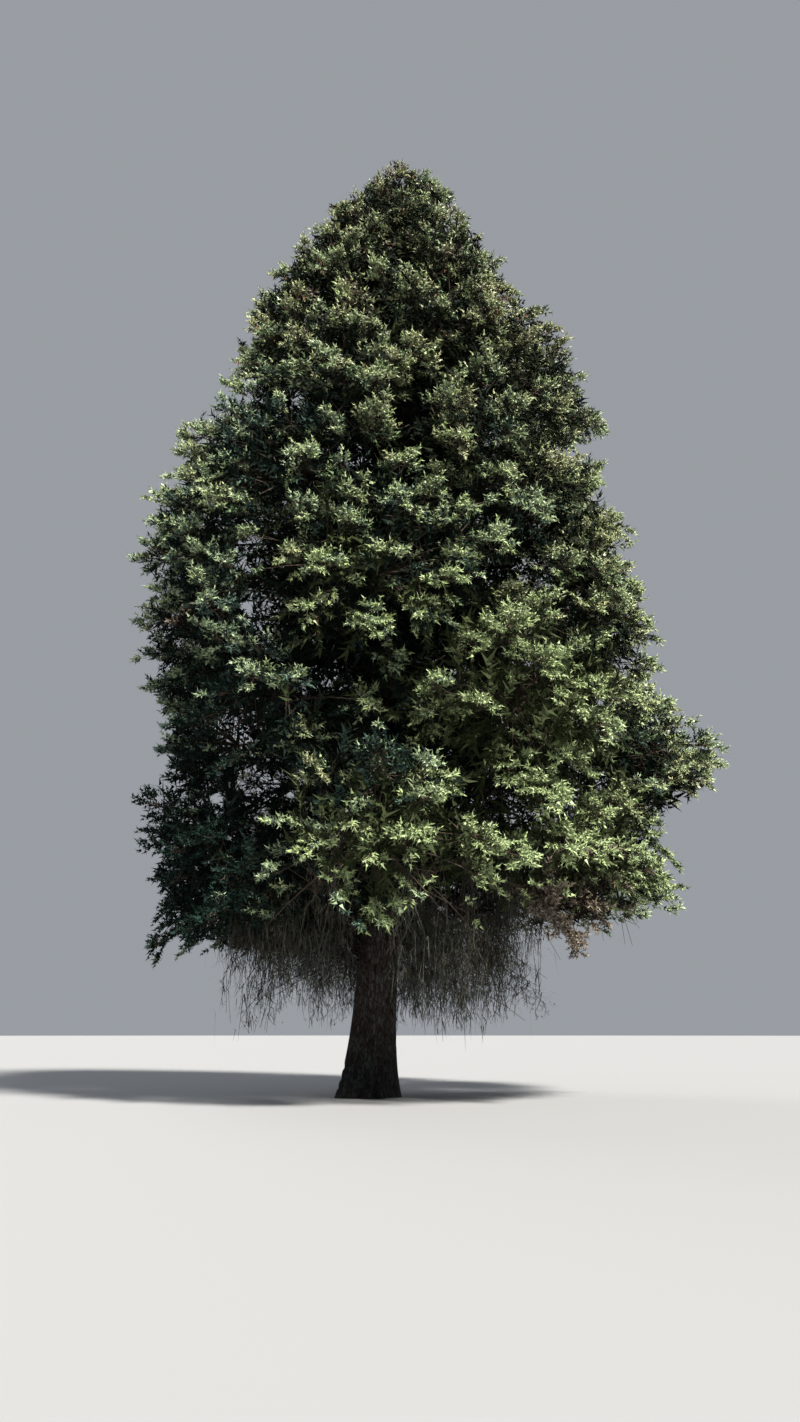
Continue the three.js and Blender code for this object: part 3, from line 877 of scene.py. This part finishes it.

# Each kind of needles has five tones, as the sun, the shoots' age and the tree's side give them. Each tone
# is there lighter, plain and darker, for the shoots of one spray: painted highlights and painted shade.
OLIVE, SAGE, BLUE_GREEN, RUSSET, PAINTED_SUN = range(5)
TONES = 5
SUNLIT = [
    (0.3, 0.322, 0.172),
    (0.26, 0.318, 0.168),
    (0.222, 0.288, 0.166),
    (0.16, 0.13, 0.095),
    (0.272, 0.345, 0.166),
]
GREEN = [
    (0.078, 0.095, 0.038),
    (0.06, 0.09, 0.04),
    (0.038, 0.068, 0.049),
    (0.06, 0.045, 0.032),
    (0.15, 0.19, 0.08),
]
SHADE = [
    (0.012, 0.016, 0.008),
    (0.009, 0.015, 0.009),
    (0.006, 0.014, 0.011),
    (0.014, 0.01, 0.007),
    (0.036, 0.048, 0.02),
]
# Where sun, over 0, or shade, under 0, is painted on the crown's colours: place, radius and how much.
LIGHT_PLACES = [
    (-4.3, -2.6, 5.6, 2.8, -2.0),
    (-3.3, -4.0, 3.8, 1.4, -2.0),
    (3.4, -4.4, 5.3, 3.0, 2.1),
    (0.2, -5.0, 4.3, 1.3, 0.8),
    (-1.6, -4.9, 4.2, 0.9, 0.8),
    (-2.3, -5.0, 13.7, 1.4, -1.1),
    (-2.6, -5.3, 10.2, 1.2, -0.7),
    (3.5, -4.9, 13.4, 1.1, -0.6),
    (2.2, -3.2, 18.9, 1.1, -0.9),
    (1.9, -6.0, 11.4, 1.0, 1.0),
    (2.3, -6.1, 8.5, 1.2, 1.1),
    (-0.5, -6.1, 7.9, 1.4, 1.2),
    (1.8, -6.2, 7.0, 0.7, -1.6),
    (0.5, -5.5, 5.8, 0.95, -2.6),
    (-1.9, -5.4, 5.7, 0.9, 0.9),
    (5.6, -4.4, 5.8, 1.5, -2.2),
    (-0.7, -6.3, 9.8, 0.9, 0.9),
]
# Dying patches: place and radius.
BROWN_PATCHES = [(-3.5, -3.5, 9.55, 0.6), (3.9, -3.3, 3.3, 1.3)]
PAINTED_SUN_FROM = 0.5
SHADE_WITH_HEIGHT = 0.03
SHADE_HEIGHT = 14
SUNLIT_FROM = 0.05
GREEN_FROM = -0.13
MOST_FACES = 190000


def scaled(tones, gain):
    """The tones made lighter or darker."""
    return [tuple(gain * part for part in tone) for tone in tones]


def tone_materials(name, tones, roughness, specular=0.35):
    """One plain material for each tone."""
    return [plain(f"{name} {k + 1}", tone, roughness, specular) for k, tone in enumerate(tones)]


def needle_pieces(kind, corners, tones):
    """Joins sprays of one kind into pieces, from the crown's foot up. tones gives each face's material."""
    order = np.argsort(corners[:, 0, 2], kind="stable")
    corners, tones = corners[order], tones[order]
    for part, start in enumerate(range(0, len(corners), MOST_FACES)):
        chunk = corners[start : start + MOST_FACES]
        faces = np.arange(3 * len(chunk)).reshape(-1, 3)
        chunk_tones = tones[start : start + MOST_FACES]
        piece = new_mesh(f"{kind}_{part + 1}", chunk.reshape(-1, 3), faces, finishes[kind], chunk_tones)
        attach(piece, "root")
        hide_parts(*foliage_nodes)


def favour(rows):
    """How much painted sun each spray's place in the crown gets: under 0 painted shade, over 0 painted sun.
    """
    total = np.zeros(len(rows))
    for x, y, z, radius, gain in LIGHT_PLACES:
        total += gain * np.exp(-(np.linalg.norm(rows[:, ROOT] - np.array([x, y, z]), axis=1) / radius) ** 2)
    return total


def tones_of(rows, chances):
    """Deals out the tones: warmer to the right and the top, bluer in painted shade, lightest in painted sun,
    russet in dying patches.
    """
    warm = 1.6 * np.minimum(favour(rows), 0) + 0.11 * (rows[:, 2] - 10) + 0.1 * rows[:, 0]
    warm += 0.7 * rows[:, WARMTH]
    warm += chances.normal(size=len(rows)) * 0.5
    tone = np.where(warm > 0.9, OLIVE, np.where(warm > -0.5, SAGE, BLUE_GREEN))
    russet_share = 0.06 * np.clip(rows[:, 2] - 13, 0, 9) / 2
    tone[(warm > 1.2) & (chances.random(len(rows)) < russet_share)] = RUSSET
    # Where its place is painted sunny, a spray takes the lightest tone: painted sunlight.
    tone[favour(rows) + 0.35 * chances.normal(size=len(rows)) > PAINTED_SUN_FROM] = PAINTED_SUN
    for x, y, z, radius in BROWN_PATCHES:
        reach = radius * chances.uniform(0.6, 1.2, len(rows))
        tone[np.linalg.norm(rows[:, ROOT] - np.array([x, y, z]), axis=1) < reach] = RUSSET
    return tone


# Lit and shaded copies of each kind's tones: painted highlights, plain, and painted shade.
sunlit = scaled(SUNLIT, 1.12) + scaled(SUNLIT, 0.9) + scaled(GREEN, 0.6)
green = scaled(GREEN, 1.9) + scaled(GREEN, 0.9) + scaled(SHADE, 0.8)
shade = scaled(SHADE, 1.9) + scaled(SHADE, 0.75) + scaled(SHADE, 0.4)
finishes = {
    "needles_sunlit": tone_materials("sunlit needles", sunlit, 0.5),
    "needles_green": tone_materials("green needles", green, 0.55),
    "needles_shade": tone_materials("shaded needles", shade, 0.85, 0.08),
}
shapes = [spray_shape(40 + k) for k in range(KINDS_OF_SPRAY)]
shaded_shapes = [spray_shape(40 + k, SHOOTS_IN_SHADE) for k in range(KINDS_OF_SPRAY)]
inner_shapes = [inner_shape(70 + k) for k in range(KINDS_OF_TUFT)]
choice = dice.integers(0, KINDS_OF_SPRAY, len(sprays))
tone = tones_of(sprays, dice)
# Painted sun and shade: a spray's light, from how high it sits in its clump, a random share and the painted
# sun of its place, makes it sunlit, green or shaded needles, each kind a lighter or darker colour.
light = 0.85 * sprays[:, ABOVE] + dice.normal(size=len(sprays)) * 0.2 + 0.3 * favour(sprays)
# Above 14 m more sprays take the darker kinds: painted shade towards the top.
light -= SHADE_WITH_HEIGHT * np.clip(sprays[:, 2] - SHADE_HEIGHT, 0, 8)
inner_tone = tones_of(inner, dice)
inner_choice = dice.integers(0, KINDS_OF_TUFT, len(inner))
belongs = {
    "needles_sunlit": light >= SUNLIT_FROM,
    "needles_green": (light >= GREEN_FROM) & (light < SUNLIT_FROM),
    "needles_shade": light < GREEN_FROM,
}
for kind, of_kind in belongs.items():
    corners, tones = [], []
    for k, shape in enumerate(shaded_shapes if kind == "needles_shade" else shapes):
        mine = of_kind & (choice == k)
        corners.append(place_shape(shape, sprays[mine]))
        levels = face_levels(len(shape) // (3 + NEEDLES_ON_SHOOT))
        tones.append((tone[mine][:, None] + TONES * levels).ravel())
    if kind == "needles_shade":
        # The tufts from inside the crown and the old sprays take a dark shaded tone: old dull needles,
        # painted near-black as shade.
        for k, shape in enumerate(inner_shapes):
            corners.append(place_shape(shape, inner[inner_choice == k]))
            tones.append(np.repeat(inner_tone[inner_choice == k] + TONES, len(shape)))
    needle_pieces(kind, np.concatenate(corners), np.concatenate(tones))

# Twigs: the thin brown wood under every spray and tuft, and the side twigs that carry the tufts. They are
# about a centimetre thick where they start, and grow in one piece with their branch.
spray_twigs = place_shape(twig_shape(), np.vstack([sprays, inner])).reshape(-1, 3)
side_corners, side_faces = gather(side_twigs)
corners = np.vstack([spray_twigs, side_corners[side_faces].reshape(-1, 3)])
twigs = new_mesh("twigs", corners, np.arange(len(corners)).reshape(-1, 3), [wood])
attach(twigs, "root")
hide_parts(*foliage_nodes)

# Skirt: dead hanging twigs under the lowest boughs, which have lost their needles: grey-brown wood, thin
# and lacy. They hang from dead boughs and low twigs to about a metre over the ground, and leave the front of
# the trunk in view.
DEAD_BOUGHS = 60
DEAD_BOUGH_RADIUS = 0.02
# No dead bough grows towards the front, within this angle.
FRONT = -math.pi / 2
FRONT_GAP = 0.3
HOOKS_ON_BOUGH = 26
# Low twigs carry bunches too, below this height and this far out.
LOW_HOOKS = 5.2
HOOKS_OUT = 4.9
BUNCHES = 270
TWIGS_IN_BUNCH = (6, 13)
SKIRT_REACH = 2.75
SKIRT_LEAN = 0.3
HANGING_FOOT = 0.95
HANGING_FOOT_SCATTER = 1.0
# Every so many bunches, one joins the long column on the left: its place, and the height of its foot.
COLUMN_EVERY = 55
SKIRT_COLUMN = (-2.3, -0.9, 1.25)
# Nothing hangs before the trunk, this far to each side of its foot's middle.
TRUNK_VIEW = 0.62
TRUNK_VIEW_MIDDLE = 0.15
SHORTEST_HANGING = 0.3
HANGING_RADIUS = 0.01
KINDS_OF_HANGING = 6
SIDE_TWIGS = 15


def hanging_shape(seed):
    """One hanging twig that runs from 0 down to -1 with a slight sway, as the corners of its faces."""
    rng = np.random.default_rng(seed)
    down = np.linspace(0, 1, 5)
    sway = 0.1 * np.sin(down * 5 + seed) + 0.2 * down
    line = np.stack([sway, 0.1 * np.sin(down * 4 + 2 * seed), -down], -1)
    line[1:, :2] += rng.normal(size=(4, 2)) * 0.07
    line[:, :2] -= line[0, :2]
    corners, faces = tube(line, HANGING_RADIUS * (1 - 0.65 * down), 3)
    found = list(corners[faces])
    for k in range(SIDE_TWIGS):
        root = along_line(line, 0.02 + 0.96 * k / SIDE_TWIGS)
        turn = k * GOLDEN_ANGLE + seed
        out = np.array([math.cos(turn), math.sin(turn), 0])
        elbow = root + out * rng.uniform(0.1, 0.3) - UP * rng.uniform(-0.04, 0.05)
        edge = np.cross(UP, out) * HANGING_RADIUS
        found.append(np.array([root - edge, root + edge, elbow]))
        for _ in range(3):
            reach = unit(out * 0.7 + rng.normal(size=3)) * rng.uniform(0.07, 0.2)
            end = elbow + reach - UP * rng.uniform(0, 0.07)
            found.append(np.array([elbow - edge * 0.8, elbow + edge * 0.8, end]))
    return np.array(found)


hang_dice = np.random.default_rng(31)
dead_boughs, hooks = [], []
for k in range(DEAD_BOUGHS):
    turn = k * GOLDEN_ANGLE
    if abs((turn - FRONT + math.pi) % (2 * math.pi) - math.pi) < FRONT_GAP:
        continue
    start = hang_dice.uniform(2.5, 4.0)
    length = hang_dice.uniform(1.2, 3.6)
    shares = np.linspace(0, 1, 9)
    bend = turn + 0.25 * hang_dice.normal() * shares
    away = 0.3 + length * shares
    line = np.stack([axis_x(start) + away * np.cos(bend), away * np.sin(bend), 0 * shares], -1)
    line[:, 2] = start + 0.12 * length * shares - 0.42 * length * shares**2
    line[:, 2] += 0.04 * hang_dice.normal(size=9)
    dead_boughs.append(tube(line, DEAD_BOUGH_RADIUS * (1 - 0.82 * shares), 5, k, 0.08))
    hooks += [along_line(line, share) for share in np.linspace(0.2, 1, HOOKS_ON_BOUGH)]
tips_of_inner = ends_of(inner, 0.3)
low = (tips_of_inner[:, 2] < LOW_HOOKS) & (np.hypot(tips_of_inner[:, 0], tips_of_inner[:, 1]) < HOOKS_OUT)
hooks = np.vstack([hooks, tips_of_inner[low][::3]])

# Each twig of a bunch hangs from one of the three hooks that are nearest to where the bunch should be.
hangers = []
for number in range(BUNCHES):
    turn = hang_dice.uniform(-math.pi, math.pi)
    away = 0.45 + hang_dice.random() ** 0.65 * (SKIRT_REACH + SKIRT_LEAN * math.cos(turn))
    middle = np.array([0.1 + away * math.cos(turn), away * math.sin(turn)])
    bunch_foot = HANGING_FOOT + HANGING_FOOT_SCATTER * hang_dice.random() ** 0.8
    bunch_foot += 0.7 * max(0, -math.cos(turn)) + 0.4 * max(0, away - 2)
    if number % COLUMN_EVERY == 0:
        middle = np.array(SKIRT_COLUMN[:2])
        bunch_foot = SKIRT_COLUMN[2]
    for _ in range(hang_dice.integers(*TWIGS_IN_BUNCH)):
        aim = middle + hang_dice.normal(size=2) * 0.17
        near = np.argsort(np.linalg.norm(hooks[:, :2] - aim, axis=1))[:3]
        root = hooks[hang_dice.choice(near)] + hang_dice.normal(size=3) * 0.03
        drop = root[2] - (bunch_foot + 2.0 * hang_dice.random() ** 1.4)
        beside_trunk = root[1] > 0 or abs(root[0] - TRUNK_VIEW_MIDDLE) > TRUNK_VIEW
        if drop > SHORTEST_HANGING and beside_trunk:
            hang_turn = hang_dice.uniform(0, FULL_TURN)
            hangers.append((*root, drop, hang_turn, hang_dice.integers(KINDS_OF_HANGING)))
hangers = np.array(hangers)
corners, kinds = [], []
for k in range(KINDS_OF_HANGING):
    chosen = hangers[hangers[:, 5] == k]
    shape = hanging_shape(k)
    cos, sin = np.cos(chosen[:, 4])[:, None], np.sin(chosen[:, 4])[:, None]
    flat = shape.reshape(-1, 3)
    x = cos * flat[:, 0] - sin * flat[:, 1]
    y = sin * flat[:, 0] + cos * flat[:, 1]
    copies = np.stack([x, y, flat[:, 2] * chosen[:, 3][:, None]], -1) + chosen[:, None, :3]
    corners.append(copies.reshape(-1, 3))
    kinds.append(np.full(len(copies) * len(shape), k % 2))
corners = np.concatenate(corners)
dead_wood = [
    mottled("dead twigs, grey", (0.08, 0.084, 0.07), 0.95, 0.08, 12),
    mottled("dead twigs, brown", (0.052, 0.048, 0.037), 0.95, 0.08, 12),
]
bough_corners, bough_faces = gather(dead_boughs)
lowest_nodes = [n for n in foliage_nodes if "tier1" in n]
bare = new_mesh("dead_boughs", bough_corners, bough_faces, [bark])
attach(bare, "root")
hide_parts(*lowest_nodes)
faces = np.arange(len(corners)).reshape(-1, 3)
skirt = new_mesh("hanging_dead_twigs", corners, faces, dead_wood, np.concatenate(kinds))
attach(skirt, "root")
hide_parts(*lowest_nodes)

# Cones: last year's papery brown cones, about 10 cm long. They hang from the outer twigs of the top third
# of the tree, each from the root of a spray.
CONES = 420
CONE_LENGTH = 0.1
CONE_RADIUS = 0.018
CONE_SIZES = (0.8, 1.25)
LOWEST_CONE = 15.5
LEAST_ABOVE = -0.2
FIRST_CONE_TIER = 5
# Along a cone from its root: share of the length, and share of the radius there.
CONE_SHAPE = np.array([(0, 0.25), (0.12, 0.85), (0.45, 1.0), (0.8, 0.7), (1.0, 0.15)])
down = CONE_SHAPE[:, 0]
cone_line = np.stack([0 * down, 0 * down, -CONE_LENGTH * down], -1)
cone_corners, cone_faces = tube(cone_line, CONE_RADIUS * CONE_SHAPE[:, 1], 5)
cone_flat = cone_corners[cone_faces].reshape(-1, 3)
cone_dice = np.random.default_rng(3)
high = sprays[(sprays[:, 2] > LOWEST_CONE) & (sprays[:, ABOVE] > LEAST_ABOVE)]
carriers = high[cone_dice.choice(len(high), CONES, replace=False)]
places = carriers[:, ROOT] + carriers[:, FORWARD] * 0.05
sizes = cone_dice.uniform(*CONE_SIZES, CONES)
corners = (cone_flat[None] * sizes[:, None, None] + places[:, None]).reshape(-1, 3)
cone_scales = mottled("cone scales", (0.2, 0.105, 0.05), 0.7, 0.3, 60)
cones = new_mesh("cones", corners, np.arange(len(corners)).reshape(-1, 3), [cone_scales])
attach(cones, "root")
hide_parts(*[n for n in foliage_nodes if int(n[len("foliage_tier")]) >= FIRST_CONE_TIER])

# Studio: a pale floor that runs far back, a soft key light from high in front on the right, a weak one from
# high behind on the left, and pale light all round.
bpy.ops.object.select_all(action="DESELECT")
bpy.ops.mesh.primitive_circle_add(vertices=96, radius=400, fill_type="NGON", location=(0, 0, -0.002))
floor = bpy.context.object
floor.name = "floor"
floor.data.materials.append(plain("pale floor", (0.205, 0.21, 0.22), 0.9))
floor.select_set(False)

world = bpy.data.worlds.new("studio")
bpy.context.scene.world = world
world.use_nodes = True
world.node_tree.nodes["Background"].inputs["Color"].default_value = (0.8, 0.85, 0.92, 1)
world.node_tree.nodes["Background"].inputs["Strength"].default_value = 0.4


def sunlight(name, energy, spread, colour, tilt, turn):
    """Parallel light: strength, softness in degrees, colour, and the angles that it is turned by."""
    lamp = bpy.data.lights.new(name, "SUN")
    lamp.energy = energy
    lamp.angle = math.radians(spread)
    lamp.color = colour
    light = bpy.data.objects.new(name, lamp)
    light.rotation_euler = (math.radians(tilt), 0, math.radians(turn))
    bpy.context.scene.collection.objects.link(light)


sunlight("key", 13.5, 9, (1.0, 0.95, 0.86), 42, 38)
sunlight("fill", 1.1, 30, (0.92, 0.96, 1.0), -48, 34)
bpy.context.scene.view_settings.view_transform = "Standard"

# Camera: held at eye height, 23 m in front of the trunk, and tilted up as in the photograph.
SENSOR = 36
FOCAL_PIXELS = 1050
PICTURE_HEIGHT = 1422
CAMERA_TILT = 17
lens = bpy.data.cameras.new("camera")
lens.lens = SENSOR * FOCAL_PIXELS / PICTURE_HEIGHT
lens.sensor_width = SENSOR
lens.sensor_fit = "AUTO"
lens.clip_end = 2000
camera = bpy.data.objects.new("camera", lens)
camera.location = EYE
camera.rotation_euler = (math.radians(90 + CAMERA_TILT), 0, 0)
bpy.context.scene.collection.objects.link(camera)
bpy.context.scene.camera = camera
